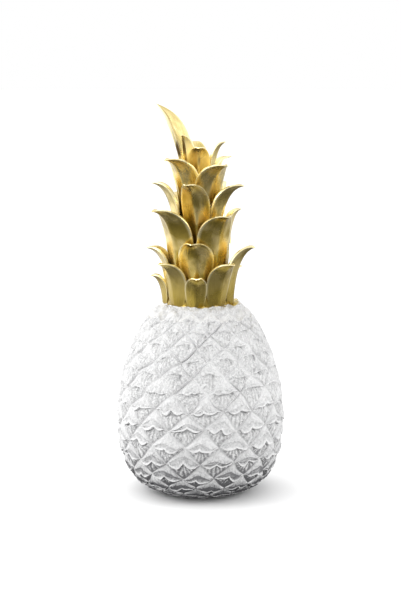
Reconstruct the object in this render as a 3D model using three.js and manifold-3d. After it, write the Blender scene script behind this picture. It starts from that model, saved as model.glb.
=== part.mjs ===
// Pineapple ornament, cast in one piece of resin: a fruit of carved diamond eyes under a crown
// of curling leaves. Millimetres, +Z up. The origin is the middle of the flat underside, and the
// front faces -Y. Angles round the fruit are degrees from the front towards +X.
import * as THREE from "three";
import { mergeVertices } from "three/addons/utils/BufferGeometryUtils.js";
import Module from "manifold-3d";

// Fruit outline: two superellipse quarters that meet at the belly
const BELLY_RADIUS = 65.3;
const BELLY_HEIGHT = 60;
const SHOULDER_RISE = 109; // from the belly to where the shoulder would close
const SHOULDER_POWER = 1.75;
const FOOT_DROP = 61.5; // from the belly to where the foot would close, just under the underside
const FOOT_POWER_UP = 2.5;
const FOOT_POWER_OUT = 3.5;
const OUTLINE_STEPS = 3000;

// Lattice of eyes: two sets of grooves wind round the fruit and cross in diamonds
const EYE_COLUMNS = 15;
const FIRST_CROSSING_HEIGHT = 33.9; // a ring of groove crossings, from which half rows are counted
const COLUMN_SHIFT = -0.527; // columns, at the first crossings
const COLUMN_LEAN = 0.055; // columns for each half row up

// One eye at the belly: depths are from the outline, inwards is negative
const GROOVE_DEPTH = -2.8;
const CREST_DEPTH = -0.7;
const CORNER_DEPTH = -0.5;
const LIP_DEPTH = 0.5;
const LIP_DIP_DEPTH = 0.2;
const RECESS_DEPTH = -1.5;
const RECESS_FOOT_DEPTH = -1.9;

// Stem that the leaves grow from, a little off the fruit's axis
const CROWN_OFFSET = -1.5;
const CROWN_SEAT_RADIUS = 35.5; // where the eyes end and the fruit closes over to the stem
const CROWN_SEAT_RISE = 5; // from there to the middle
const STEM_LEDGE = 8.5; // fruit left bare round the stem's foot
const STEM_HEIGHT = 112;
const STEM_TOP_RADIUS = 8.5;
const STEM_POWER = 1.35; // above 1 it narrows fastest near its foot
const STEM_RINGS = 4;
const STEM_ROOT = 12; // how far it goes on into the fruit
const STEM_SIDES = 16;

// Leaf blades
const LEAF_WIDTH = 30;
const LEAF_REACH = 25; // of its tip, out from the stem
const LEAF_THICKNESS = 3.2;
const LEAF_RIM = 1.9;
const LEAF_CUP = 0.42; // how far the rims fall back, as a share of the half width
const LEAF_SINK = 2.2; // how far the back of a leaf's foot stands in the stem
const LEAF_STATIONS = [0, 0.3, 0.55, 0.74, 0.87, 0.95];
const LEAF_UPRIGHT = 0.38; // share of its rise that the foot stays upright
const LEAF_LEAN = 0.2; // how far out, and how far below the tip, the curl begins
const LEAF_CURL_DROP = 0.04;
const LEAF_WIDEST = 0.54;
const LEAF_FOOT_SHARE = 0.5; // width at the foot over the widest

// Leaves: angle, foot and tip as shares of the stem's height, how far the tip stands out and the
// widest width as shares of the usual ones, and how far the tip swings round. The tall one also has
// its own lean and drop, because it curls less
const LEAVES = [
  { angle: -82, foot: -0.02, tip: 0.21, out: 0.4, width: 0.6, swing: 0 },
  { angle: -40, foot: -0.02, tip: 0.31, out: 0.56, width: 0.73, swing: -8 },
  { angle: -5, foot: -0.02, tip: 0.22, out: 0.42, width: 0.57, swing: 3 },
  { angle: 34, foot: -0.02, tip: 0.31, out: 0.66, width: 0.73, swing: 5 },
  { angle: 74, foot: -0.02, tip: 0.41, out: 0.74, width: 0.8, swing: 4 },
  { angle: 114, foot: -0.02, tip: 0.25, out: 0.42, width: 0.67, swing: 0 },
  { angle: 152, foot: -0.02, tip: 0.32, out: 0.58, width: 0.73, swing: 4 },
  { angle: 192, foot: -0.02, tip: 0.24, out: 0.46, width: 0.67, swing: -3 },
  { angle: 234, foot: -0.02, tip: 0.34, out: 0.58, width: 0.73, swing: -4 },
  { angle: -95, foot: 0.11, tip: 0.39, out: 0.64, width: 0.8, swing: 0 },
  { angle: -3, foot: 0.12, tip: 0.45, out: 0.44, width: 0.9, swing: -6 },
  { angle: 142, foot: 0.12, tip: 0.45, out: 0.62, width: 0.87, swing: 3 },
  { angle: 184, foot: 0.14, tip: 0.48, out: 0.66, width: 0.87, swing: 0 },
  { angle: 226, foot: 0.16, tip: 0.52, out: 0.68, width: 0.87, swing: -4 },
  { angle: -44, foot: 0.18, tip: 0.67, out: 0.88, width: 1.03, swing: -8 },
  { angle: 34, foot: 0.19, tip: 0.63, out: 0.61, width: 1.03, swing: 4 },
  { angle: 94, foot: 0.21, tip: 0.66, out: 0.44, width: 0.8, swing: 0 },
  { angle: 158, foot: 0.29, tip: 0.69, out: 0.82, width: 0.93, swing: 4 },
  { angle: 208, foot: 0.36, tip: 0.75, out: 0.76, width: 0.87, swing: 0 },
  { angle: -88, foot: 0.41, tip: 0.84, out: 0.72, width: 0.83, swing: 0 },
  { angle: -3, foot: 0.41, tip: 0.85, out: 0.84, width: 0.73, swing: -12 },
  { angle: 66, foot: 0.43, tip: 0.83, out: 0.82, width: 0.83, swing: 2 },
  { angle: 138, foot: 0.46, tip: 0.83, out: 0.6, width: 0.77, swing: 0 },
  { angle: -40, foot: 0.61, tip: 1.01, out: 0.82, width: 0.87, swing: -8 },
  { angle: 34, foot: 0.59, tip: 0.97, out: 0.8, width: 0.87, swing: 6 },
  { angle: 182, foot: 0.55, tip: 0.95, out: 0.76, width: 0.87, swing: 4 },
  { angle: 240, foot: 0.59, tip: 0.98, out: 0.74, width: 0.83, swing: -4 },
  { angle: 122, foot: 0.73, tip: 1.01, out: 0.74, width: 0.43, swing: 0 },
  { angle: 2, foot: 0.77, tip: 1.09, out: 0.52, width: 0.57, swing: -2 },
  { angle: 186, foot: 0.77, tip: 1.11, out: 0.48, width: 0.57, swing: 0 },
  { angle: 80, foot: 0.8, tip: 1.12, out: 0.43, width: 0.43, swing: 0 },
  { angle: -46, foot: 0.82, tip: 1.17, out: 0.28, width: 0.43, swing: -4 },
  { angle: -112, foot: 0.75, tip: 1.378, out: 0.96, width: 0.97, swing: 0, lean: 0.5, drop: 0.2 },
];

const FRUIT_COLOUR = "#e9e8e9";
const FRUIT_ROUGHNESS = 0.75;

const wasm = await Module();
wasm.setup();

// A closed three.js geometry as a solid that can be joined and cut.
function solidOf(geometry) {
  const bare = geometry.clone();
  bare.deleteAttribute("normal");
  bare.deleteAttribute("uv");
  const merged = mergeVertices(bare, 1e-4);
  const corners = merged.index.array;
  const faces = [];
  for (let i = 0; i < corners.length; i += 3) {
    const [a, b, c] = [corners[i], corners[i + 1], corners[i + 2]];
    if (a !== b && b !== c && c !== a) faces.push(a, b, c);
  }
  const mesh = new wasm.Mesh({
    numProp: 3,
    vertProperties: new Float32Array(merged.attributes.position.array),
    triVerts: new Uint32Array(faces),
  });
  return new wasm.Manifold(mesh);
}

// A list of points and of triangles between them, as a geometry.
function geometryOf(points, faces) {
  const geometry = new THREE.BufferGeometry();
  const flat = points.flatMap((point) => [point.x, point.y, point.z]);
  geometry.setAttribute("position", new THREE.Float32BufferAttribute(flat, 3));
  geometry.setIndex(faces);
  return geometry;
}

// The fruit's outline at a turn of 0 (foot) to PI (shoulder): radius and height.
function outlinePoint(turn) {
  const across = Math.sin(turn);
  const along = Math.abs(Math.cos(turn));
  if (turn < Math.PI / 2) {
    return new THREE.Vector2(
      BELLY_RADIUS * across ** (2 / FOOT_POWER_OUT),
      BELLY_HEIGHT - FOOT_DROP * along ** (2 / FOOT_POWER_UP),
    );
  }
  return new THREE.Vector2(
    BELLY_RADIUS * across ** (2 / SHOULDER_POWER),
    BELLY_HEIGHT + SHOULDER_RISE * along ** (2 / SHOULDER_POWER),
  );
}

// The outline walked from foot to shoulder. A half row is as tall as half an eye is wide, so
// that the eyes stay square diamonds, and shrink with the fruit towards both ends.
function walkOutline() {
  const walk = [];
  let row = 0;
  let last = outlinePoint(1e-3);
  for (let step = 1; step < OUTLINE_STEPS; step += 1) {
    const point = outlinePoint(1e-3 + (step / OUTLINE_STEPS) * (Math.PI - 2e-3));
    const halfRow = (Math.PI * (point.x + last.x)) / 2 / EYE_COLUMNS;
    row += point.distanceTo(last) / halfRow;
    walk.push({ row, point });
    last = point;
  }
  const start = walk.find(({ point }) => point.y >= FIRST_CROSSING_HEIGHT).row;
  return walk.map(({ row, point }) => ({ row: row - start, point }));
}
const outline = walkOutline();

// The eyes run from the underside to the crown's seat.
const seat = outline.find(({ point }) => point.y > BELLY_HEIGHT && point.x <= CROWN_SEAT_RADIUS);
const underside = outline.find(({ point }) => point.y >= 0);
const lowestHalfRow = Math.round(underside.row);
const topHalfRow = Math.round(seat.row) - 1;

// A point of the fruit's skin at a column and a half row, so deep under its outline. Depths
// shrink with the eyes.
function skinPoint(column, row, depth) {
  let after = outline.findIndex((stop) => stop.row >= row);
  after = THREE.MathUtils.clamp(after, 1, outline.length - 1);
  const [low, high] = [outline[after - 1], outline[after]];
  const share = (row - low.row) / (high.row - low.row);
  const point = low.point.clone().lerp(high.point, share);
  const along = high.point.clone().sub(low.point).normalize();
  const lift = (depth * point.x) / BELLY_RADIUS;
  const radius = point.x + along.y * lift;
  const turn = ((column + COLUMN_SHIFT + COLUMN_LEAN * row) * 2 * Math.PI) / EYE_COLUMNS;
  return new THREE.Vector3(
    radius * Math.sin(turn),
    -radius * Math.cos(turn),
    point.y - along.x * lift,
  );
}

// One eye, from its middle: across in columns, up in half rows, and depth. Its bract is a smooth
// triangle that ends below in a lip of two lobes, over a recess that runs down to the groove.
const EYE_POINTS = {
  top: [0, 1, GROOVE_DEPTH],
  left: [-0.5, 0, GROOVE_DEPTH],
  bottom: [0, -1, GROOVE_DEPTH],
  right: [0.5, 0, GROOVE_DEPTH],
  crest: [0, 0.76, CREST_DEPTH],
  leftCorner: [-0.38, 0, CORNER_DEPTH],
  leftLobe: [-0.2, -0.2, LIP_DEPTH],
  lipDip: [0, -0.06, LIP_DIP_DEPTH],
  rightLobe: [0.2, -0.2, LIP_DEPTH],
  rightCorner: [0.38, 0, CORNER_DEPTH],
  underLeft: [-0.22, -0.3, RECESS_DEPTH],
  underDip: [0, -0.19, RECESS_DEPTH],
  underRight: [0.22, -0.3, RECESS_DEPTH],
  foot: [0, -0.8, RECESS_FOOT_DEPTH],
};
const EYE_FACES = [
  ["lipDip", "rightLobe", "rightCorner", "crest", "leftCorner", "leftLobe"],
  ["top", "left", "leftCorner", "crest"],
  ["right", "top", "crest", "rightCorner"],
  ["left", "underLeft", "leftCorner"],
  ["right", "rightCorner", "underRight"],
  ["leftLobe", "leftCorner", "underLeft", "underDip", "lipDip"],
  ["rightLobe", "lipDip", "underDip", "underRight", "rightCorner"],
  ["foot", "underDip", "underLeft", "left", "bottom"],
  ["foot", "bottom", "right", "underRight", "underDip"],
];

// The whole fruit: eyes in every half row, and a fan to the axis that closes each end.
function fruitSolid() {
  const points = [];
  const faces = [];
  for (let row = lowestHalfRow; row <= topHalfRow; row += 1) {
    for (let column = 0; column < EYE_COLUMNS; column += 1) {
      const middle = column + (row % 2 === 0 ? 0 : 0.5);
      const place = {};
      for (const [name, [across, up, depth]] of Object.entries(EYE_POINTS)) {
        place[name] = points.length;
        points.push(skinPoint(middle + across, row + up, depth));
      }
      for (const [first, ...rest] of EYE_FACES) {
        for (let i = 1; i < rest.length; i += 1) {
          faces.push(place[first], place[rest[i - 1]], place[rest[i]]);
        }
      }
    }
  }
  for (const [row, side, height] of [
    [lowestHalfRow, -1, BELLY_HEIGHT - FOOT_DROP],
    [topHalfRow, 1, seat.point.y + CROWN_SEAT_RISE],
  ]) {
    const pole = points.length;
    points.push(new THREE.Vector3(0, 0, height));
    for (let column = 0; column < EYE_COLUMNS; column += 1) {
      const middle = column + (row % 2 === 0 ? 0 : 0.5);
      const ring = points.length;
      points.push(skinPoint(middle - 0.5, row, GROOVE_DEPTH));
      points.push(skinPoint(middle, row + side, GROOVE_DEPTH));
      points.push(skinPoint(middle + 0.5, row, GROOVE_DEPTH));
      if (side > 0) faces.push(pole, ring, ring + 1, pole, ring + 1, ring + 2);
      else faces.push(pole, ring + 1, ring, pole, ring + 2, ring + 1);
    }
  }
  return solidOf(geometryOf(points, faces));
}

// The stem tapers from a foot on the crown's seat to a blunt top.
const crownBase = seat.point.y;
const stemFootRadius = seat.point.x - STEM_LEDGE;
function stemRadius(rise) {
  const share = THREE.MathUtils.clamp(rise / STEM_HEIGHT, 0, 1);
  return THREE.MathUtils.lerp(STEM_TOP_RADIUS, stemFootRadius, (1 - share) ** STEM_POWER);
}
function stemSolid() {
  const profile = [
    new THREE.Vector2(0, crownBase - STEM_ROOT),
    new THREE.Vector2(stemFootRadius, crownBase - STEM_ROOT),
  ];
  for (let ring = 0; ring <= STEM_RINGS; ring += 1) {
    const rise = (ring / STEM_RINGS) * STEM_HEIGHT;
    profile.push(new THREE.Vector2(stemRadius(rise), crownBase + rise));
  }
  const top = crownBase + STEM_HEIGHT + STEM_TOP_RADIUS / 2;
  profile.push(new THREE.Vector2(0, top));
  const lathe = new THREE.LatheGeometry(profile, STEM_SIDES).rotateX(Math.PI / 2);
  return solidOf(lathe.translate(CROWN_OFFSET, 0, 0));
}

// Half width of a leaf along its length, as a share of its widest half.
function leafShare(along) {
  if (along < LEAF_WIDEST) {
    const swell = Math.sin(((along / LEAF_WIDEST) * Math.PI) / 2);
    return THREE.MathUtils.lerp(LEAF_FOOT_SHARE, 1, swell);
  }
  return 1 - ((along - LEAF_WIDEST) / (1 - LEAF_WIDEST)) ** 2;
}

// One blade: its spine climbs the stem and curls outwards to a point. Its section is a strip
// with a keel down the middle, from which the rims fall back towards the stem.
function leafSolid(leaf) {
  const { angle, swing, lean = LEAF_LEAN, drop = LEAF_CURL_DROP } = leaf;
  const foot = leaf.foot * STEM_HEIGHT;
  const tip = leaf.tip * STEM_HEIGHT;
  const start = stemRadius(foot) + LEAF_THICKNESS - LEAF_SINK;
  const reach = stemRadius(foot) + leaf.out * LEAF_REACH;
  const rise = tip - foot;
  const spine = new THREE.CubicBezierCurve(
    new THREE.Vector2(start, foot),
    new THREE.Vector2(start, foot + LEAF_UPRIGHT * rise),
    new THREE.Vector2(start + lean * (reach - start), tip - drop * rise),
    new THREE.Vector2(reach, tip),
  );
  const around = (along) => THREE.MathUtils.degToRad(angle + swing * along * along);
  const place = (along, radius, height, across) => {
    const turn = around(along);
    return new THREE.Vector3(
      CROWN_OFFSET + radius * Math.sin(turn) + across * Math.cos(turn),
      -radius * Math.cos(turn) + across * Math.sin(turn),
      crownBase + height,
    );
  };
  const outer = [-1, 0, 1];
  const inner = [1, 0, -1];
  const points = [];
  const faces = [];
  for (const along of LEAF_STATIONS) {
    const middle = spine.getPoint(along);
    const tangent = spine.getTangent(along);
    const half = ((leaf.width * LEAF_WIDTH) / 2) * leafShare(along);
    const section = (across, thickness) => {
      const back = LEAF_CUP * half * Math.abs(across) + thickness;
      return place(along, middle.x - tangent.y * back, middle.y + tangent.x * back, half * across);
    };
    for (const across of outer) points.push(section(across, 0));
    for (const across of inner) {
      points.push(section(across * 0.94, across === 0 ? LEAF_THICKNESS : LEAF_RIM));
    }
  }
  const ring = outer.length + inner.length;
  for (let station = 0; station + 1 < LEAF_STATIONS.length; station += 1) {
    for (let i = 0; i < ring; i += 1) {
      const [a, b] = [station * ring + i, station * ring + ((i + 1) % ring)];
      faces.push(a, b, b + ring, a, b + ring, a + ring);
    }
  }
  const last = (LEAF_STATIONS.length - 1) * ring;
  const point = points.length;
  points.push(place(1, reach, tip, 0));
  for (let i = 0; i < ring; i += 1) {
    faces.push(last + i, last + ((i + 1) % ring), point);
  }
  for (let i = 1; i + 1 < ring; i += 1) faces.push(0, i + 1, i);
  return solidOf(geometryOf(points, faces));
}

// Everything below the underside, to be cut away.
function groundSolid() {
  const side = 4 * BELLY_RADIUS;
  return solidOf(new THREE.BoxGeometry(side, side, side).translate(0, 0, -side / 2));
}

function ornamentMesh() {
  let solid = fruitSolid().add(stemSolid());
  for (const leaf of LEAVES) solid = solid.add(leafSolid(leaf));
  const { vertProperties, triVerts } = solid.subtract(groundSolid()).getMesh();
  const geometry = new THREE.BufferGeometry();
  geometry.setAttribute("position", new THREE.Float32BufferAttribute(vertProperties, 3));
  geometry.setIndex([...triVerts]);
  geometry.computeVertexNormals();
  const material = new THREE.MeshStandardMaterial({
    color: FRUIT_COLOUR,
    roughness: FRUIT_ROUGHNESS,
    metalness: 0,
  });
  const mesh = new THREE.Mesh(geometry, material);
  mesh.name = "pineapple_ornament";
  return mesh;
}

const group = new THREE.Group();
group.add(ornamentMesh());

export default group;
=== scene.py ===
import bisect
import math
import random

import bpy
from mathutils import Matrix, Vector, noise


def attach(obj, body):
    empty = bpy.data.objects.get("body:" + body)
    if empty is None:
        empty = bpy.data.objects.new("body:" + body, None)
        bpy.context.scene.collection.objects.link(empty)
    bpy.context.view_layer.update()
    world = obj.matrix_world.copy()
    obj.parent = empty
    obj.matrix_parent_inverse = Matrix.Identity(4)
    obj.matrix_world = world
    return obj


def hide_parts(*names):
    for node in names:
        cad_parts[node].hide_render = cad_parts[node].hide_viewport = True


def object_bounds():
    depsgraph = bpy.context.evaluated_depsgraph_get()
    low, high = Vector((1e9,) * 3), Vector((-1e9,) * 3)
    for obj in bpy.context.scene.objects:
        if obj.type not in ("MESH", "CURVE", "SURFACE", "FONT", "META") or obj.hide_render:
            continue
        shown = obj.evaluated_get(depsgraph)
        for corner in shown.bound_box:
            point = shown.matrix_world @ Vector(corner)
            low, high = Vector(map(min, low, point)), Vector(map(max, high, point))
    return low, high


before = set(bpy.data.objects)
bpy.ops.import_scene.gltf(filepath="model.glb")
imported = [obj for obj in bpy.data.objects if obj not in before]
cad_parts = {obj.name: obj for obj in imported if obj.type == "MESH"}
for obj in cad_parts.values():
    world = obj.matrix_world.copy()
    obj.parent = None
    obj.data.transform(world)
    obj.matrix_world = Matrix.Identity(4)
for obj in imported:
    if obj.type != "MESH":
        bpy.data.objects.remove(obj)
cad_box = [list(corner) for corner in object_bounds()]
bpy.ops.object.select_all(action="DESELECT")

# The fruit is the lower half of the casting. Its skin was carved in clay before it was moulded:
# two sets of grooves wind round it, and every diamond between them is a pillow with a smooth cap,
# a raised lip of two lobes and, under the lip, a rough mound.
BELLY_RADIUS = 0.0653
BELLY_HEIGHT = 0.060
SHOULDER_RISE = 0.109
SHOULDER_POWER = 1.75
FOOT_DROP = 0.0615
FOOT_POWER_UP = 2.5
FOOT_POWER_OUT = 3.5
OUTLINE_STEPS = 3000

EYE_COLUMNS = 15
FIRST_CROSSING_HEIGHT = 0.0339
COLUMN_SHIFT = -0.527
COLUMN_LEAN = 0.055
CROWN_SEAT_RADIUS = 0.0355
CROWN_SEAT_RISE = 0.005


def outline_point(turn):
    """Radius and height of the fruit's outline, from the foot (0) to the shoulder (pi)."""
    across = math.sin(turn)
    along = abs(math.cos(turn))
    if turn < math.pi / 2:
        radius = BELLY_RADIUS * across ** (2 / FOOT_POWER_OUT)
        return radius, BELLY_HEIGHT - FOOT_DROP * along ** (2 / FOOT_POWER_UP)
    radius = BELLY_RADIUS * across ** (2 / SHOULDER_POWER)
    return radius, BELLY_HEIGHT + SHOULDER_RISE * along ** (2 / SHOULDER_POWER)


# Half rows are as tall as half an eye is wide, so the eyes stay square and shrink to both ends.
outline = []
row = 0.0
last = outline_point(1e-3)
for step in range(1, OUTLINE_STEPS):
    point = outline_point(1e-3 + step / OUTLINE_STEPS * (math.pi - 2e-3))
    row += math.dist(point, last) / (math.pi * (point[0] + last[0]) / 2 / EYE_COLUMNS)
    outline.append((row, *point))
    last = point
first_row = next(row for row, _, height in outline if height >= FIRST_CROSSING_HEIGHT)
outline = [(row - first_row, radius, height) for row, radius, height in outline]
outline_rows = [row for row, _, _ in outline]
seat_row, seat_radius, seat_height = next(
    stop for stop in outline if stop[2] > BELLY_HEIGHT and stop[1] <= CROWN_SEAT_RADIUS
)
lowest_row = round(next(row for row, _, height in outline if height >= 0))
top_row = round(seat_row) - 1


def skin_point(column, row, depth):
    """A point of the skin at a column and a half row, so deep under the outline at the belly."""
    after = min(max(bisect.bisect_left(outline_rows, row), 1), len(outline) - 1)
    low, high = outline[after - 1], outline[after]
    share = (row - low[0]) / (high[0] - low[0])
    radius = low[1] + share * (high[1] - low[1])
    height = low[2] + share * (high[2] - low[2])
    length = math.dist(low[1:], high[1:])
    lift = depth * radius / BELLY_RADIUS
    turn = (column + COLUMN_SHIFT + COLUMN_LEAN * row) * 2 * math.pi / EYE_COLUMNS
    out = radius + (high[2] - low[2]) / length * lift
    return Vector(
        (out * math.sin(turn), -out * math.cos(turn), height - (high[1] - low[1]) / length * lift)
    )


def smooth(value, low, high):
    """0 below low, 1 above high, and a soft step between them."""
    share = min(max((value - low) / (high - low), 0.0), 1.0)
    return share * share * (3 - 2 * share)


def mix(first, second, share):
    return first + (second - first) * share


# One eye reaches from -1 to 1 both across and up. Depths are at the belly, inwards is negative. The
# low eyes are crisp, and the moulding blurs them into crumpled pillows further up.
EYE_HALF_COLUMNS = 12
EYE_RUNGS = 14  # the lowest corner is rung 0 and the top corner is the last
CRACK_RUNG = 1
SILL_RUNG = 2
NICK_RUNG = 5
UNDER_RUNG = 6
LIP_RUNG = 7
BACK_RUNG = 8
TROUGH_RUNG = 9
ROPE_RUNG = 10
CAP_RUNG = 11
CRISP_UP_TO_ROW = 1.5
BLURRED_FROM_ROW = 5.2
GROOVE_DEPTH = -0.0026
SHALLOW_GROOVE_DEPTH = -0.0021
GROOVE_UNEVENNESS = 1.6
GROOVE_SCALE = 55
LIP_DEPTH = 0.00032
LIP_ROUNDING = 0.0001
CAP_DEPTH = 0.0
CAP_TILT = 0.0012  # from its lower edge up to its top corner
TROUGH_DEPTH = -0.0016
ROPE_DEPTH = -0.0009
KEEL_DEPTH = 0.0002
TRENCH_DEPTH = -0.0003
UNDER_DEPTH = -0.0026
NOTCH_DEPTH = -0.0010
MOUND_DEPTH = -0.0011
MOUND_SINK = 0.0017  # from under the lip to the lowest corner
PILLOW_SWELL = 0.0002
STRAND_DEPTH = 0.00028
STRANDS = 13  # round a whole turn about the lip's middle
ROUGH_DEPTH = 0.0020
ROUGH_SCALE = 300
ROUGH_FINE_SCALE = 620
UNDULATION_DEPTH = 0.0002
UNDULATION_SCALE = 140
WOBBLE = 0.11  # how far points wander sideways, as a share of an eye
WOBBLE_SCALE = 65
WELD = 1.5e-5
LIP_MIDDLE = 0.12
LIP_DROOP = 0.32
LIP_WAVE = 0.025
LOBE_SPAN = 0.86  # from the lip's middle to its end
CAP_PEAK = 0.43
CAP_SLOPE = 0.5


def eye_rungs(x, eye):
    """Heights of the points up one column of an eye, which keep to its lip and to its cap's edge."""
    half = 1 - abs(x)
    side = eye["left"] if x < eye["middle"] else eye["right"]
    away = min(abs(x - eye["middle"]) / eye["span"], 1.0)
    droop = LIP_DROOP * eye["crisp"] * side * math.sin(math.pi * away) ** 0.75
    lip = LIP_MIDDLE + eye["rise"] - droop
    lip += LIP_WAVE * eye["crisp"] * math.sin(9 * x + eye["phase"]) * min(1, 3 * half)
    lip = min(max(lip, -0.42 * half), 0.3 * half)
    back = lip + min(0.065, 0.12 * half)
    cap = CAP_PEAK + eye["peak"] - CAP_SLOPE * away * LOBE_SPAN
    cap = min(max(cap, back + 0.12 * half), 0.6 * half)
    foot = -half + min(0.22, 0.45 * half)
    under = lip - min(0.045, 0.1 * half)
    over = cap + min(0.055, 0.1 * half)
    return [
        -half,
        -half + min(0.07, 0.17 * half),
        -half + min(0.14, 0.32 * half),
        foot,
        mix(foot, under, 0.34),
        mix(foot, under, 0.69),
        under,
        lip,
        back,
        mix(back, cap, 0.3),
        mix(back, cap, 0.62),
        cap,
        over,
        half - min(0.08, 0.17 * half),
        half,
    ]


def shoulder(edge, width):
    """0 at the groove and 1 from so far inside it: steep first, then rounding over."""
    return 1 - (1 - min(max(edge / width, 0.0), 1.0)) ** 1.8


def groove_depth(row, at):
    """Depth of the grooves at a half row: shallower and more uneven where the moulding is blurred."""
    blurred = smooth(row, CRISP_UP_TO_ROW, BLURRED_FROM_ROW)
    uneven = 1 + GROOVE_UNEVENNESS * noise.noise(at * GROOVE_SCALE)
    return mix(GROOVE_DEPTH, SHALLOW_GROOVE_DEPTH * uneven, blurred)


def eye_depth(x, rung, heights, eye, groove):
    """Depth of a point of an eye, before its roughness."""
    up = heights[rung]
    edge = 1 - abs(x) - abs(up)
    crisp = eye["crisp"]
    away = min(abs(x - eye["middle"]) / eye["span"], 1.0)
    lobe = math.sin(math.pi * away) ** 0.55
    near = smooth(1 - away, 0.0, 0.4)
    if rung < LIP_RUNG:
        fall = (heights[LIP_RUNG] - up) / (heights[LIP_RUNG] - heights[0] + 1e-9)
        angle = math.atan2(x - eye["middle"], 0.3 - up)
        strand = math.sin(STRANDS * angle + eye["phase"])
        pillow = PILLOW_SWELL * math.sin(math.pi * min(fall * 1.1, 1.0))
        level = mix(pillow, MOUND_DEPTH - MOUND_SINK * fall**1.5, crisp)
        level += STRAND_DEPTH * strand * smooth(fall, 0.05, 0.3)
        if rung == UNDER_RUNG:
            sharp = crisp * smooth(1 - abs(x), 0.1, 0.4)
            level = mix(level + NOTCH_DEPTH * near, UNDER_DEPTH, sharp)
        return mix(groove, level, shoulder(edge, mix(0.16, 0.24, crisp)))
    climb = (up - heights[LIP_RUNG]) / (heights[EYE_RUNGS] - heights[LIP_RUNG] + 1e-9)
    plateau = CAP_DEPTH - CAP_TILT * smooth(climb, 0.2, 1.0)
    crisp_trough = mix(max(plateau, KEEL_DEPTH), TROUGH_DEPTH * eye["trough"], lobe)
    trough = mix(plateau + TRENCH_DEPTH * near, crisp_trough, crisp)
    lip = mix(plateau + LIP_DEPTH * near, LIP_DEPTH + eye["swell"], crisp)
    rope = mix(plateau, ROPE_DEPTH, lobe * crisp)
    level = {
        LIP_RUNG: lip - LIP_ROUNDING,
        BACK_RUNG: lip,
        TROUGH_RUNG: trough,
        ROPE_RUNG: rope,
        CAP_RUNG: mix(trough, plateau, 0.1),
    }.get(rung, plateau)
    return mix(groove, level, shoulder(edge, mix(0.34, 0.26, crisp)))


bpy.ops.mesh.primitive_grid_add(x_subdivisions=2 * EYE_HALF_COLUMNS, y_subdivisions=EYE_RUNGS, size=2)
pattern = bpy.context.object
pattern.data.uv_layers[0].name = "surface"
grid = [
    (round(v.co.x * EYE_HALF_COLUMNS), round((v.co.y + 1) / 2 * EYE_RUNGS)) for v in pattern.data.vertices
]

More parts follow.
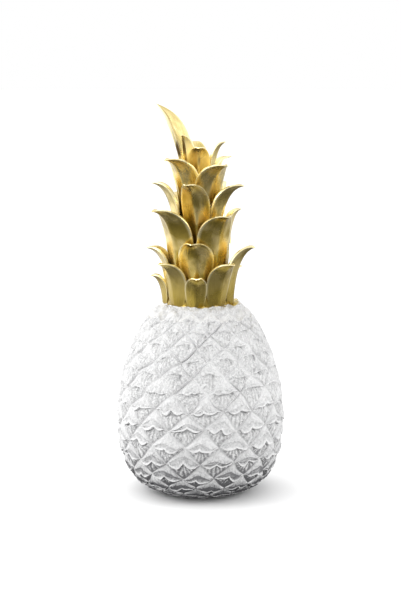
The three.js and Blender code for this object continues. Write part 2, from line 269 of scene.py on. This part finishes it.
# Every eye has its own lip, cap and trough; a blurred one may have a nick of painted shade in one column.
NO_NICK = 99
carver = random.Random(11)
eyes = []
for row in range(lowest_row, top_row + 1):
    blurred = smooth(row, CRISP_UP_TO_ROW, BLURRED_FROM_ROW)
    vague = smooth(row, 5.5, 10)
    for column in range(EYE_COLUMNS):
        eye = {
            "middle": carver.uniform(-0.1, 0.1),
            "rise": carver.uniform(-0.16, 0.12) + 0.1 * blurred,
            "left": carver.uniform(0.35, 1.4),
            "right": carver.uniform(0.35, 1.4),
            "peak": carver.uniform(-0.1, 0.12),
            "swell": carver.uniform(-0.00012, 0.0001),
            "phase": carver.uniform(0, 2 * math.pi),
            "crisp": 1 - (0.85 + 0.15 * carver.random()) * blurred,
            "span": mix(LOBE_SPAN, carver.uniform(0.28, 0.6), blurred),
            "crack": carver.random() ** 2,
            "trough": mix(0.45, 1, carver.random()),
            "nick": carver.choice((-5, -4, 3, 4, 5, NO_NICK)),
        }
        centre = column + (0 if row % 2 == 0 else 0.5)
        piece = pattern.copy()
        piece.data = pattern.data.copy()
        bpy.context.collection.objects.link(piece)
        steps = range(-EYE_HALF_COLUMNS, EYE_HALF_COLUMNS + 1)
        rungs = [eye_rungs(k / EYE_HALF_COLUMNS, eye) for k in steps]
        local = []
        hollow_shade_and_wash = piece.data.attributes.new("hollow_shade_and_wash", "FLOAT", "POINT")
        rugged = piece.data.attributes.new("rugged", "FLOAT", "POINT")
        fan = piece.data.attributes.new("fan", "FLOAT", "POINT")
        for vertex, (k, rung) in zip(piece.data.vertices, grid):
            x = k / EYE_HALF_COLUMNS
            heights = rungs[k + EYE_HALF_COLUMNS]
            column_place = centre + x / 2
            row_place = row + heights[rung]
            edge = 1 - abs(x) - abs(heights[rung])
            at = skin_point(column_place, row_place, 0)
            depth = eye_depth(x, rung, heights, eye, groove_depth(row_place, at))
            column_place += WOBBLE * noise.noise(at * WOBBLE_SCALE)
            row_place += WOBBLE * 2 * noise.noise(at * WOBBLE_SCALE + Vector((9, 9, 9)))
            rough = noise.noise(at * ROUGH_SCALE) * 0.6 + noise.noise(at * ROUGH_FINE_SCALE) * 0.4
            if rung < LIP_RUNG:
                field = 1.0
            else:
                field = mix({LIP_RUNG: 0.4, BACK_RUNG: 0.25}.get(rung, 0.6), 0.9, blurred)
            coarse = 1 + 1.6 * vague + 0.9 * smooth(-row, 0.5, 2)
            depth += ROUGH_DEPTH * rough * smooth(edge, 0.03, 0.2) * field * coarse
            depth += UNDULATION_DEPTH * noise.noise(at * UNDULATION_SCALE)
            depth = min(depth, LIP_DEPTH + LIP_ROUNDING)
            vertex.co = skin_point(column_place, row_place, depth)
            local.append((x / 2 + 0.5, heights[rung] / 2 + 0.5))
            fall = (heights[LIP_RUNG] - heights[rung]) / (heights[LIP_RUNG] - heights[0] + 1e-9)
            # Painted shade with a grey wash: darkest in the groove cracks, under the lip, in the troughs
            # and cap edges.
            if rung < LIP_RUNG:
                dark = {
                    CRACK_RUNG: 0.9,
                    SILL_RUNG: 0.65,
                    UNDER_RUNG: smooth(1 - abs(x), 0.08, 0.35),
                }.get(rung, 0.14 + 0.34 * fall)
                blurred_wash_and_shade = {
                    CRACK_RUNG: eye["crack"],
                    UNDER_RUNG: 0.5 * smooth(1 - abs(x), 0.3, 0.7),
                }.get(rung, 0.12)
                if rung in (NICK_RUNG, UNDER_RUNG) and k - eye["nick"] in (0, 1):
                    blurred_wash_and_shade = 2.2
            else:
                dark = {
                    LIP_RUNG: 0.05,
                    BACK_RUNG: 0.05,
                    TROUGH_RUNG: 0.8 * eye["trough"],
                    ROPE_RUNG: 0.5,
                    CAP_RUNG: 0.8,
                }.get(rung, mix(0.04, 0.26, smooth(row, -2.6, 0)))
                if rung == TROUGH_RUNG:
                    dark *= mix(0.65, 1, smooth(row, -3, 0))
                blurred_wash_and_shade = 0.0
            if rung in (0, EYE_RUNGS):
                dark, blurred_wash_and_shade = mix(1.0, 0.8, smooth(row, -3, 0)), 0.5
            hollow_shade_and_wash.data[vertex.index].value = mix(dark, blurred_wash_and_shade, blurred)
            rugged.data[vertex.index].value = field * smooth(edge, 0.0, 0.12)
            fan.data[vertex.index].value = smooth(fall, 0.0, 0.2) * smooth(edge, 0.0, 0.1)
        layer = piece.data.uv_layers["surface"]
        for loop in piece.data.loops:
            layer.data[loop.index].uv = local[loop.vertex_index]
        eyes.append(piece)
bpy.data.objects.remove(pattern)

bpy.ops.object.select_all(action="DESELECT")
for piece in eyes:
    piece.select_set(True)
bpy.context.view_layer.objects.active = eyes[0]
bpy.ops.object.join()
fruit = bpy.context.object
fruit.name = "pineapple"
for vertex in fruit.data.vertices:
    for axis in (0, 1):
        vertex.co[axis] = min(max(vertex.co[axis], cad_box[0][axis]), cad_box[1][axis])
bpy.ops.object.mode_set(mode="EDIT")
bpy.ops.mesh.select_all(action="SELECT")
bpy.ops.mesh.remove_doubles(threshold=WELD)
bpy.ops.object.mode_set(mode="OBJECT")


def open_ring(piece, above):
    """Selects the open edge of the upper or the lower end."""
    bpy.ops.object.mode_set(mode="EDIT")
    bpy.ops.mesh.select_mode(type="EDGE")
    bpy.ops.mesh.select_all(action="DESELECT")
    bpy.ops.mesh.select_non_manifold(extend=False, use_boundary=True, use_wire=False,
                                     use_multi_face=False, use_non_contiguous=False, use_verts=False)
    bpy.ops.object.mode_set(mode="OBJECT")
    for edge in piece.data.edges:
        middle = piece.data.vertices[edge.vertices[0]].co.z
        if (middle > BELLY_HEIGHT) != above:
            edge.select = False
    for vertex in piece.data.vertices:
        vertex.select = vertex.select and (vertex.co.z > BELLY_HEIGHT) == above
    bpy.ops.object.mode_set(mode="EDIT")


# Both ends close to the axis. The upper one is a low mound of blurred scales round the stem.
SEAT_SHARES = (0.96, 0.92, 0.88, 0.84, 0.80, 0.76, 0.70, 0.6)
SEAT_BLOBS = 0.0032
SEAT_BLOB_SCALE = 190
SEAT_ROUGHNESS = 0.9
for above, height, shares in (
    (False, BELLY_HEIGHT - FOOT_DROP, ()),
    (True, seat_height + CROWN_SEAT_RISE, SEAT_SHARES),
):
    open_ring(fruit, above)
    for step, share in enumerate(shares):
        bpy.ops.mesh.extrude_edges_move()
        bpy.ops.object.mode_set(mode="OBJECT")
        for vertex in fruit.data.vertices:
            if vertex.select:
                own = math.hypot(vertex.co.x, vertex.co.y)
                goal = share * CROWN_SEAT_RADIUS
                settled = min(1.0, 0.3 + 0.25 * step)
                scale = mix(min(own, goal), goal, settled) / own
                rise = seat_height + CROWN_SEAT_RISE * (1 - share * share)
                blob = SEAT_BLOBS * noise.noise(vertex.co * SEAT_BLOB_SCALE)
                up = mix(vertex.co.z, rise, settled) + blob
                vertex.co = (vertex.co.x * scale, vertex.co.y * scale, up)
                fruit.data.attributes["rugged"].data[vertex.index].value = SEAT_ROUGHNESS
        bpy.ops.object.mode_set(mode="EDIT")
    bpy.ops.mesh.extrude_edges_move()
    bpy.ops.object.mode_set(mode="OBJECT")
    for vertex in fruit.data.vertices:
        if vertex.select:
            vertex.co = (0, 0, height)
    bpy.ops.object.mode_set(mode="EDIT")
    bpy.ops.mesh.remove_doubles(threshold=1e-6)
    bpy.ops.mesh.select_all(action="SELECT")
    bpy.ops.mesh.normals_make_consistent(inside=False)
    bpy.ops.object.mode_set(mode="OBJECT")

# The stem is the core of the crown, cast with the fruit. It narrows from a foot on the fruit to a
# blunt top.
STEM_LEDGE = 0.0085
CROWN_OFFSET = -0.0015
STEM_HEIGHT = 0.112
STEM_TOP_RADIUS = 0.0085
STEM_POWER = 1.35
STEM_ROOT = 0.012
STEM_SIDES = 48
STEM_RINGS = 20
STEM_WAVE = 0.04
STEM_WAVE_SCALE = 120
STEM_END_SHARE = 0.55  # width of the blunt end over the top of the stem
stem_foot_radius = seat_radius - STEM_LEDGE


def stem_radius(rise):
    """Radius of the stem so high above the fruit."""
    share = min(max(rise / STEM_HEIGHT, 0.0), 1.0)
    return mix(STEM_TOP_RADIUS, stem_foot_radius, (1 - share) ** STEM_POWER)


stem_length = STEM_ROOT + STEM_HEIGHT + STEM_TOP_RADIUS / 2
bpy.ops.object.select_all(action="DESELECT")
bpy.ops.mesh.primitive_cylinder_add(
    vertices=STEM_SIDES, radius=stem_foot_radius, depth=stem_length, end_fill_type="TRIFAN",
    location=(0, 0, seat_height - STEM_ROOT + stem_length / 2),
)
crown = bpy.context.object
bpy.ops.object.transform_apply(location=True, rotation=True, scale=True)
crown.data.uv_layers[0].name = "surface"
bpy.ops.object.mode_set(mode="EDIT")
for ring in range(STEM_RINGS + 1):
    bpy.ops.mesh.select_all(action="SELECT")
    bpy.ops.mesh.bisect(plane_co=(0, 0, seat_height + STEM_HEIGHT * ring / STEM_RINGS), plane_no=(0, 0, 1))
bpy.ops.object.mode_set(mode="OBJECT")
for vertex in crown.data.vertices:
    rise = vertex.co.z - seat_height
    reach = math.hypot(vertex.co.x, vertex.co.y) / stem_foot_radius
    scale = stem_radius(rise) / stem_foot_radius
    wave = 1 + STEM_WAVE * noise.noise(vertex.co * STEM_WAVE_SCALE)
    vertex.co.x *= scale * wave
    vertex.co.y *= scale * wave
    if rise > STEM_HEIGHT + 1e-6:
        vertex.co.x *= STEM_END_SHARE
        vertex.co.y *= STEM_END_SHARE
    vertex.co.x += CROWN_OFFSET
for data in crown.data.uv_layers["surface"].data:
    data.uv = (0.5, 0.1)

# The leaves are short curling blades, cast with the stem. Each climbs it, swells, and leans out to
# a point, and its rims fall back from a keel down the middle.
LEAF_WIDTH = 0.030
LEAF_REACH = 0.025
LEAF_THICKNESS = 0.0032
LEAF_RIM = 0.0019
LEAF_CUP = 0.42
LEAF_SINK = 0.0022
LEAF_UPRIGHT = 0.38
LEAF_LEAN = 0.2
LEAF_CURL_DROP = 0.04
LEAF_WIDEST = 0.54
LEAF_FOOT_SHARE = 0.5
LEAF_KEEL = 0.85  # share of the fall of the rims that is straight, like a roof
LEAF_STRIPS = 10
LEAF_STATIONS = 20
LEAF_TIP_CROWDING = 1.25  # stations stand closer together towards the tip
LEAF_TIP_SHARE = 0.3  # thickness at the tip over the thickness below it
RIM_BEVEL = 0.00035
RIM_ANGLE = math.radians(50)

# Angle, foot and tip as shares of the stem's height, how far out the tip stands and how wide the
# blade is as shares of the usual ones, how far the tip swings round, and how soon it leans out.
LEAVES = [
    {"angle": -82, "foot": -0.02, "tip": 0.21, "out": 0.40, "width": 0.60, "swing": 0},
    {"angle": -40, "foot": -0.02, "tip": 0.31, "out": 0.56, "width": 0.73, "swing": -8},
    {"angle": -5, "foot": -0.02, "tip": 0.22, "out": 0.42, "width": 0.57, "swing": 3},
    {"angle": 34, "foot": -0.02, "tip": 0.31, "out": 0.66, "width": 0.73, "swing": 5},
    {"angle": 74, "foot": -0.02, "tip": 0.41, "out": 0.74, "width": 0.80, "swing": 4},
    {"angle": 114, "foot": -0.02, "tip": 0.25, "out": 0.42, "width": 0.67, "swing": 0},
    {"angle": 152, "foot": -0.02, "tip": 0.32, "out": 0.58, "width": 0.73, "swing": 4},
    {"angle": 192, "foot": -0.02, "tip": 0.24, "out": 0.46, "width": 0.67, "swing": -3},
    {"angle": 234, "foot": -0.02, "tip": 0.34, "out": 0.58, "width": 0.73, "swing": -4},
    {"angle": -95, "foot": 0.11, "tip": 0.39, "out": 0.64, "width": 0.80, "swing": 0},
    {"angle": -3, "foot": 0.12, "tip": 0.45, "out": 0.44, "width": 0.90, "swing": -6},
    {"angle": 142, "foot": 0.12, "tip": 0.45, "out": 0.62, "width": 0.87, "swing": 3},
    {"angle": 184, "foot": 0.14, "tip": 0.48, "out": 0.66, "width": 0.87, "swing": 0},
    {"angle": 226, "foot": 0.16, "tip": 0.52, "out": 0.68, "width": 0.87, "swing": -4},
    {"angle": -44, "foot": 0.18, "tip": 0.67, "out": 0.88, "width": 1.03, "swing": -8},
    {"angle": 34, "foot": 0.19, "tip": 0.63, "out": 0.61, "width": 1.03, "swing": 4},
    {"angle": 94, "foot": 0.21, "tip": 0.66, "out": 0.44, "width": 0.80, "swing": 0},
    {"angle": 158, "foot": 0.29, "tip": 0.69, "out": 0.82, "width": 0.93, "swing": 4},
    {"angle": 208, "foot": 0.36, "tip": 0.75, "out": 0.76, "width": 0.87, "swing": 0},
    {"angle": -88, "foot": 0.41, "tip": 0.84, "out": 0.72, "width": 0.83, "swing": 0},
    {"angle": -3, "foot": 0.41, "tip": 0.85, "out": 0.84, "width": 0.73, "swing": -12},
    {"angle": 66, "foot": 0.43, "tip": 0.83, "out": 0.82, "width": 0.83, "swing": 2},
    {"angle": 138, "foot": 0.46, "tip": 0.83, "out": 0.60, "width": 0.77, "swing": 0},
    {"angle": -40, "foot": 0.61, "tip": 1.01, "out": 0.82, "width": 0.87, "swing": -8},
    {"angle": 34, "foot": 0.59, "tip": 0.97, "out": 0.80, "width": 0.87, "swing": 6},
    {"angle": 182, "foot": 0.55, "tip": 0.95, "out": 0.76, "width": 0.87, "swing": 4},
    {"angle": 240, "foot": 0.59, "tip": 0.98, "out": 0.74, "width": 0.83, "swing": -4},
    {"angle": 122, "foot": 0.73, "tip": 1.01, "out": 0.74, "width": 0.43, "swing": 0},
    {"angle": 2, "foot": 0.77, "tip": 1.09, "out": 0.52, "width": 0.57, "swing": -2},
    {"angle": 186, "foot": 0.77, "tip": 1.11, "out": 0.48, "width": 0.57, "swing": 0},
    {"angle": 80, "foot": 0.80, "tip": 1.12, "out": 0.43, "width": 0.43, "swing": 0},
    {"angle": -46, "foot": 0.82, "tip": 1.17, "out": 0.28, "width": 0.43, "swing": -4},
    {"angle": -112, "foot": 0.75, "tip": 1.3745, "out": 0.96, "width": 0.97, "swing": 0, "lean": 0.5,
     "drop": 0.2},
]


def leaf_share(along):
    """Half width of a leaf along its length, as a share of its widest half."""
    if along < LEAF_WIDEST:
        return mix(LEAF_FOOT_SHARE, 1, math.sin(along / LEAF_WIDEST * math.pi / 2))
    return 1 - ((along - LEAF_WIDEST) / (1 - LEAF_WIDEST)) ** 2


def leaf_spine(leaf, along):
    """A point of the spine and its direction there, as radius and height."""
    foot = leaf["foot"] * STEM_HEIGHT
    tip = leaf["tip"] * STEM_HEIGHT
    start = stem_radius(foot) + LEAF_THICKNESS - LEAF_SINK
    reach = stem_radius(foot) + leaf["out"] * LEAF_REACH
    rise = tip - foot
    lean = leaf.get("lean", LEAF_LEAN)
    a = Vector((start, foot))
    b = Vector((start, foot + LEAF_UPRIGHT * rise))
    c = Vector((start + lean * (reach - start), tip - leaf.get("drop", LEAF_CURL_DROP) * rise))
    d = Vector((reach, tip))
    left = 1 - along
    point = left**3 * a + 3 * left**2 * along * b + 3 * left * along**2 * c + along**3 * d
    way = left**2 * (b - a) + 2 * left * along * (c - b) + along**2 * (d - c)
    return point, way.normalized()


def leaf_point(leaf, across, along):
    """A point of the outer face of a leaf."""
    middle, way = leaf_spine(leaf, along)
    half = leaf["width"] * LEAF_WIDTH / 2 * leaf_share(along)
    fall = mix(across * across, abs(across), LEAF_KEEL)
    back = LEAF_CUP * half * fall
    radius = middle.x - way.y * back
    height = middle.y + way.x * back
    turn = math.radians(leaf["angle"] + leaf["swing"] * along * along)
    return Vector(
        (
            CROWN_OFFSET + radius * math.sin(turn) + half * across * math.cos(turn),
            -radius * math.cos(turn) + half * across * math.sin(turn),
            seat_height + height,
        )
    )


def apply(piece, kind, **settings):
    """Adds a modifier to a piece and applies it."""
    modifier = piece.modifiers.new(kind.title(), kind)
    for name, value in settings.items():
        setattr(modifier, name, value)
    bpy.context.view_layer.objects.active = piece
    bpy.ops.object.modifier_apply(modifier=modifier.name)


for leaf in LEAVES:
    bpy.ops.object.select_all(action="DESELECT")
    bpy.ops.mesh.primitive_grid_add(x_subdivisions=LEAF_STRIPS, y_subdivisions=LEAF_STATIONS, size=2)
    blade = bpy.context.object
    blade.data.uv_layers[0].name = "surface"
    full = blade.vertex_groups.new(name="full")
    for vertex in blade.data.vertices:
        across, along = vertex.co.x, (vertex.co.y + 1) / 2
        along = 1 - (1 - along) ** LEAF_TIP_CROWDING
        thick = mix(1, LEAF_RIM / LEAF_THICKNESS, across * across)
        thick *= mix(1, LEAF_TIP_SHARE, smooth(along, 0.75, 1))
        full.add([vertex.index], thick, "REPLACE")
        vertex.co = leaf_point(leaf, across, along)
    bpy.ops.object.mode_set(mode="EDIT")
    bpy.ops.mesh.select_all(action="SELECT")
    bpy.ops.mesh.remove_doubles(threshold=1e-5)
    bpy.ops.object.mode_set(mode="OBJECT")
    apply(blade, "SOLIDIFY", thickness=LEAF_THICKNESS, offset=-1, vertex_group="full",
          use_even_offset=True)
    apply(blade, "BEVEL", width=RIM_BEVEL, segments=2, limit_method="ANGLE", angle_limit=RIM_ANGLE)
    apply(crown, "BOOLEAN", operation="UNION", solver="MANIFOLD", object=blade)
    bpy.data.objects.remove(blade)

# Crown and fruit come out of the mould as one piece, and the underside is ground flat.
SMOOTH_ANGLE = math.radians(50)
apply(fruit, "BOOLEAN", operation="UNION", solver="MANIFOLD", object=crown)
bpy.data.objects.remove(crown)
bpy.ops.object.select_all(action="DESELECT")
bpy.ops.mesh.primitive_cube_add(size=4 * BELLY_RADIUS, location=(0, 0, -2 * BELLY_RADIUS))
ground = bpy.context.object
apply(fruit, "BOOLEAN", operation="DIFFERENCE", solver="MANIFOLD", object=ground)
bpy.data.objects.remove(ground)
bpy.ops.object.select_all(action="DESELECT")
fruit.select_set(True)
bpy.context.view_layer.objects.active = fruit

# The joins leave loose flakes without thickness: two faces on the same corners. They are cleaned off.
bpy.ops.object.mode_set(mode="EDIT")
bpy.ops.mesh.select_mode(type="FACE")
bpy.ops.mesh.select_all(action="DESELECT")
bpy.ops.object.mode_set(mode="OBJECT")
twins = {}
for face in fruit.data.polygons:
    twins.setdefault(tuple(sorted(face.vertices)), []).append(face.index)
for faces in twins.values():
    for index in faces:
        fruit.data.polygons[index].select = len(faces) > 1
bpy.ops.object.mode_set(mode="EDIT")
bpy.ops.mesh.delete(type="FACE")
bpy.ops.object.mode_set(mode="OBJECT")
bpy.ops.object.shade_smooth_by_angle(angle=SMOOTH_ANGLE)
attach(fruit, "root")
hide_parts("pineapple_ornament")


# The paint is one coat over the whole casting: white on the fruit, wiped with a grey wash that
# stays in the hollows, with painted shade there and towards the foot, and gold on the crown down to a
# ragged edge at its seat.
class Term:
    """One socket of a shader. Sums with it add Math nodes."""

    def __init__(self, tree, socket):
        self.tree = tree
        self.socket = socket

    def node(self, kind, settings=(), output=0, **values):
        """Adds any node: its settings first, then the values or links of its sockets."""
        made = self.tree.nodes.new(kind)
        for name, value in dict(settings).items():
            setattr(made, name, value)
        for name, value in values.items():
            key = int(name[1:]) if name[0] == "_" else name.replace("_", " ")
            socket = made.inputs[key]
            if isinstance(value, Term):
                self.tree.links.new(value.socket, socket)
            else:
                socket.default_value = value
        return Term(self.tree, made.outputs[output])

    def maths(self, operation, *values):
        numbered = {f"_{i}": value for i, value in enumerate(values)}
        return self.node("ShaderNodeMath", {"operation": operation}, **numbered)

    def __add__(self, other):
        return self.maths("ADD", self, other)

    def __radd__(self, other):
        return self.maths("ADD", other, self)

    def __sub__(self, other):
        return self.maths("SUBTRACT", self, other)

    def __rsub__(self, other):
        return self.maths("SUBTRACT", other, self)

    def __mul__(self, other):
        return self.maths("MULTIPLY", self, other)

    def __rmul__(self, other):
        return self.maths("MULTIPLY", other, self)

    def step(self, low, high):
        """0 below low, 1 above high, and a soft step between them."""
        return self.node(
            "ShaderNodeMapRange", {"interpolation_type": "SMOOTHSTEP"}, Value=self,
            From_Min=low, From_Max=high, To_Min=0.0, To_Max=1.0,
        )

    def blend(self, first, second):
        """From the first colour at 0 to the second at 1."""
        return self.node(
            "ShaderNodeMix", {"data_type": "RGBA"}, output=2, _0=self, _6=first, _7=second
        )

    def noise(self, scale, detail=3.0, roughness=0.5):
        return self.node(
            "ShaderNodeTexNoise", {"noise_dimensions": "3D"}, Vector=self, Scale=scale,
            Detail=detail, Roughness=roughness,
        )


def colour(red, green, blue):
    return (red, green, blue, 1)


PAINT_EDGE = seat_height + 0.0024
PAINT_EDGE_BLUR = 0.0003
# Painted shade makes the last rows near black up to this height.
SOLE_SHADE_FROM = 0.013  # up to here the last rows are at their darkest
SOLE_SHADE_TO = 0.020
DENT_SHADOW_LEFT = 0.0160  # painted shadow in the hollow at the foot of the tall leaf
DENT_SHADOW_HEIGHT = 0.2675
WHITE = colour(0.71, 0.71, 0.71)
# Grey of the wash and painted shade, and the near black of the painted shade at the foot.
GREY_WASH_AND_SHADE = colour(0.25, 0.25, 0.255)
FOOT_SHADE_BLACK = colour(0.025, 0.025, 0.03)
GOLD = colour(0.84, 0.67, 0.28)
GOLD_DARK = colour(0.42, 0.31, 0.06)
GOLD_RUST = colour(0.55, 0.34, 0.09)
GOLD_CREAM = colour(0.95, 0.83, 0.48)
# Brown of the painted shade in the crevices and hollows of the crown.
UMBER = colour(0.10, 0.05, 0.012)

paint = bpy.data.materials.new("painted_resin")
paint.use_nodes = True
tree = paint.node_tree
shader = tree.nodes["Principled BSDF"]
start = Term(tree, None)
place = start.node("ShaderNodeTexCoord", output=3)
surface = start.node("ShaderNodeUVMap", {"uv_map": "surface"})
# Painted shade and grey wash of the eyes, as the mesh gives them.
hollow_shade_and_wash = start.node("ShaderNodeAttribute", {"attribute_name": "hollow_shade_and_wash"}, output=2)
height = start.node("ShaderNodeSeparateXYZ", output=2, Vector=place)
across = start.node("ShaderNodeSeparateXYZ", output=0, Vector=surface) * 2 - 1
along = start.node("ShaderNodeSeparateXYZ", output=1, Vector=surface)

paint_line = height + (place.noise(160, 4) - 0.5) * 0.005
gilded = paint_line.step(PAINT_EDGE - PAINT_EDGE_BLUR, PAINT_EDGE + PAINT_EDGE_BLUR)

# The white is crumpled on the mounds, where strands fan out below each lip. The hollows hold a grey
# wash and painted shade, darker in the creases and strand valleys and much darker towards the foot.
rugged = start.node("ShaderNodeAttribute", {"attribute_name": "rugged"}, output=2)
fan = start.node("ShaderNodeAttribute", {"attribute_name": "fan"}, output=2)
wave = place.noise(150, 2, 0.5)
turn = across.maths("ARCTAN2", across, 1.6 - along * 2)
strand = (turn * 27 + wave * 9).maths("SINE", turn * 27 + wave * 9) * fan
bulge = place.noise(300, 3, 0.55) - 0.5
crease = bulge.maths("ABSOLUTE", bulge) * 2
crumple = crease * rugged * 3.2 + strand * 0.2 * (1 - crease)
# Painted shade: darker towards the foot, strongest on the lowest rows.
low = 1 - height.step(0.0, 0.09)
foot_shade = 1 - height.step(0.0, 0.048)
pit = (1 - crease.step(0.0, 0.12)) * rugged
wash_and_shade = hollow_shade_and_wash * (0.32 + 0.55 * low + 0.95 * foot_shade) + pit * (0.38 + 0.3 * low)
wash_and_shade = wash_and_shade - strand * (0.12 + 0.4 * low)
wash_and_shade = wash_and_shade * (0.25 + 1.5 * wave) + (rugged - 0.3) * 1.25 * foot_shade * foot_shade + rugged * 0.15 * low
# Painted shade turns the rough mounds of the last rows near black.
wash_and_shade = wash_and_shade + (1 - height.step(SOLE_SHADE_FROM, SOLE_SHADE_TO)) * (rugged - 0.2)
# Painted light at the top: it keeps only half the wash and painted shade.
wash_and_shade = wash_and_shade * (1 - height.step(0.10, 0.145) * 0.5)
wash_and_shade = wash_and_shade.maths("MINIMUM", wash_and_shade.maths("MAXIMUM", wash_and_shade, 0.0), 0.97)
white = wash_and_shade.blend(WHITE, foot_shade.blend(GREY_WASH_AND_SHADE, FOOT_SHADE_BLACK))

# The gold is brushed on over brown: darker in broad soft patches, rusty in a few places, and rubbed
# pale along the rims, where the pale also stands for a painted highlight. Painted shade darkens the
# feet of the leaves, the low leaves and a hollow at the foot of the tall leaf, and a painted
# highlight pales the top leaves.
blade_place = start.node("ShaderNodeCombineXYZ", X=across * 1.3, Y=along * 0.8, Z=height * 60)
streak = blade_place.noise(1.3, 2, 0.5)
stain = place.noise(60, 2, 0.5)
rim_wear_and_highlight = across.maths("ABSOLUTE", across).step(0.82, 0.97)
# Painted shade at the feet of the leaves.
foot = 1 - along.step(0.05, 0.4)
gold = (streak * 0.55 + stain * 0.45 - foot * 0.12).step(0.38, 0.60).blend(GOLD_DARK, GOLD)
rust = place.noise(42, 2, 0.5).step(0.60, 0.75) * 0.35
gold = rust.blend(gold, GOLD_RUST)
# Painted shade on the low leaves near the seat.
low_leaf_shade = (1 - height.step(seat_height + 0.010, seat_height + 0.045)) * 0.85
gold = low_leaf_shade.blend(gold, GOLD_DARK)
# A painted highlight pales the top leaves.
gold = (height.step(seat_height + 0.07, seat_height + 0.10) * 0.22).blend(gold, GOLD_CREAM)
# The rims are rubbed pale, and the pale also stands for a painted highlight on their edges.
gold = (rim_wear_and_highlight * along.step(0.1, 0.5)).blend(gold, GOLD_CREAM)
side = start.node("ShaderNodeSeparateXYZ", output=0, Vector=place)
# A painted shadow in the hollow at the foot of the tall leaf, on its front side only.
behind = (side + DENT_SHADOW_LEFT) * 280
above = (height - DENT_SHADOW_HEIGHT) * 130
front = 1 - start.node("ShaderNodeSeparateXYZ", output=1, Vector=place).step(0.0, 0.004)
dent_shadow = front * (1 - (behind * behind + above * above).step(0.3, 1.1))
# Painted shade in the crevices at the feet of the leaves.
crevice_shade = (1 - along.step(0.03, 0.26)) * (0.25 + 0.8 * stain)
gold = crevice_shade.maths("MAXIMUM", crevice_shade * 0.8, dent_shadow * 0.9).blend(gold, UMBER)

tree.links.new(gilded.blend(white, gold).socket, shader.inputs["Base Color"])
tree.links.new((gilded * 0.95).socket, shader.inputs["Metallic"])
tree.links.new((0.72 - gilded * (0.55 - 0.2 * stain)).socket, shader.inputs["Roughness"])

grain = place.noise(1400, 3, 0.6)
brush_place = start.node("ShaderNodeCombineXYZ", X=across * 5, Y=along * 1.6, Z=height * 60)
brushed = brush_place.noise(1.3, 2, 0.5)
relief = (0.08 * grain + 0.75 * crumple) * (1 - gilded) + (0.35 * streak + 0.25 * brushed) * gilded
bump = start.node("ShaderNodeBump", Strength=1.0, Distance=0.001, Height=relief)
tree.links.new(bump.socket, shader.inputs["Normal"])
fruit.data.materials.clear()
fruit.data.materials.append(paint)

# The floor is plain and pale, and two big soft boxes stand high on the left and on the right, a
# little in front.
FLOOR_RADIUS = 12
KEY_WATTS = 5.5
RIGHT_WATTS = 6.5
bpy.ops.object.select_all(action="DESELECT")
bpy.ops.mesh.primitive_circle_add(vertices=64, radius=FLOOR_RADIUS, fill_type="NGON")
floor = bpy.context.object
floor.name = "floor"
pale = bpy.data.materials.new("pale_floor")
pale.use_nodes = True
pale.node_tree.nodes["Principled BSDF"].inputs["Base Color"].default_value = colour(0.90, 0.90, 0.90)
pale.node_tree.nodes["Principled BSDF"].inputs["Roughness"].default_value = 0.9
floor.data.materials.append(pale)
floor.visible_glossy = False  # the gold mirrors the tent and not the floor


def soft_box(name, place, aim, width, height, watts):
    """An area light that faces a point."""
    data = bpy.data.lights.new(name, "AREA")
    data.shape = "RECTANGLE"
    data.size = width
    data.size_y = height
    data.energy = watts
    lamp = bpy.data.objects.new(name, data)
    bpy.context.collection.objects.link(lamp)
    lamp.location = place
    lamp.rotation_mode = "QUATERNION"
    lamp.rotation_quaternion = (Vector(aim) - Vector(place)).to_track_quat("-Z", "Y")


soft_box("key", (-1.15, -0.35, 0.85), (0, 0, 0.15), 0.6, 0.9, KEY_WATTS)
soft_box("right", (1.2, -0.25, 0.65), (0, 0, 0.15), 0.4, 0.9, RIGHT_WATTS)

# A pale tent stands all round: brightest on the left, then overhead, on the right and behind, and
# dimmer below the horizon. What the camera sees of it directly is a plain white backdrop.
TENT_LOW = 0.14
TENT_TOP = 0.50
TENT_FRONT = 0.42
TENT_BACK = 0.45
TENT_LEFT = 1.1
TENT_RIGHT = 0.50
BACKDROP = 1.0
world = bpy.data.worlds.new("studio")
bpy.context.scene.world = world
world.use_nodes = True
tent = Term(world.node_tree, None)
way = tent.node("ShaderNodeTexCoord", output=0)
east = tent.node("ShaderNodeSeparateXYZ", output=0, Vector=way)
north = tent.node("ShaderNodeSeparateXYZ", output=1, Vector=way)
up = tent.node("ShaderNodeSeparateXYZ", output=2, Vector=way)
wall = TENT_FRONT + (0 - east).step(-0.1, 0.7) * TENT_LEFT + east.step(0.5, 0.95) * TENT_RIGHT
wall = wall + north.step(-0.1, 0.8) * TENT_BACK
glow = TENT_LOW + up.step(-0.8, 0.1) * wall + up.step(0.15, 1.0) * TENT_TOP
seen = tent.node("ShaderNodeLightPath", output=0)
strength = glow * (1 - seen) + seen * BACKDROP
world.node_tree.links.new(strength.socket, world.node_tree.nodes["Background"].inputs["Strength"])
world.node_tree.nodes["Background"].inputs["Color"].default_value = colour(1, 1, 1)

# The camera stands where the picture was taken from: 1.2 m away and a little above the shoulder.
CAMERA_DISTANCE = 1.2
CAMERA_HEIGHT = 0.3411
AIM_HEIGHT = 0.15
FOCAL_PIXELS = 1571.8
PICTURE_HEIGHT = 601
MIDDLE_Y = 299.34
SENSOR = 36.0
data = bpy.data.cameras.new("camera")
data.sensor_width = SENSOR
data.lens = FOCAL_PIXELS * SENSOR / PICTURE_HEIGHT
camera = bpy.data.objects.new("camera", data)
bpy.context.collection.objects.link(camera)
camera.location = (0, -CAMERA_DISTANCE, CAMERA_HEIGHT)
camera.rotation_mode = "QUATERNION"
camera.rotation_quaternion = (Vector((0, 0, AIM_HEIGHT)) - camera.location).to_track_quat("-Z", "Y")
data.shift_y = (MIDDLE_Y - PICTURE_HEIGHT / 2) / PICTURE_HEIGHT
bpy.context.scene.camera = camera
bpy.context.scene.view_settings.view_transform = "Standard"
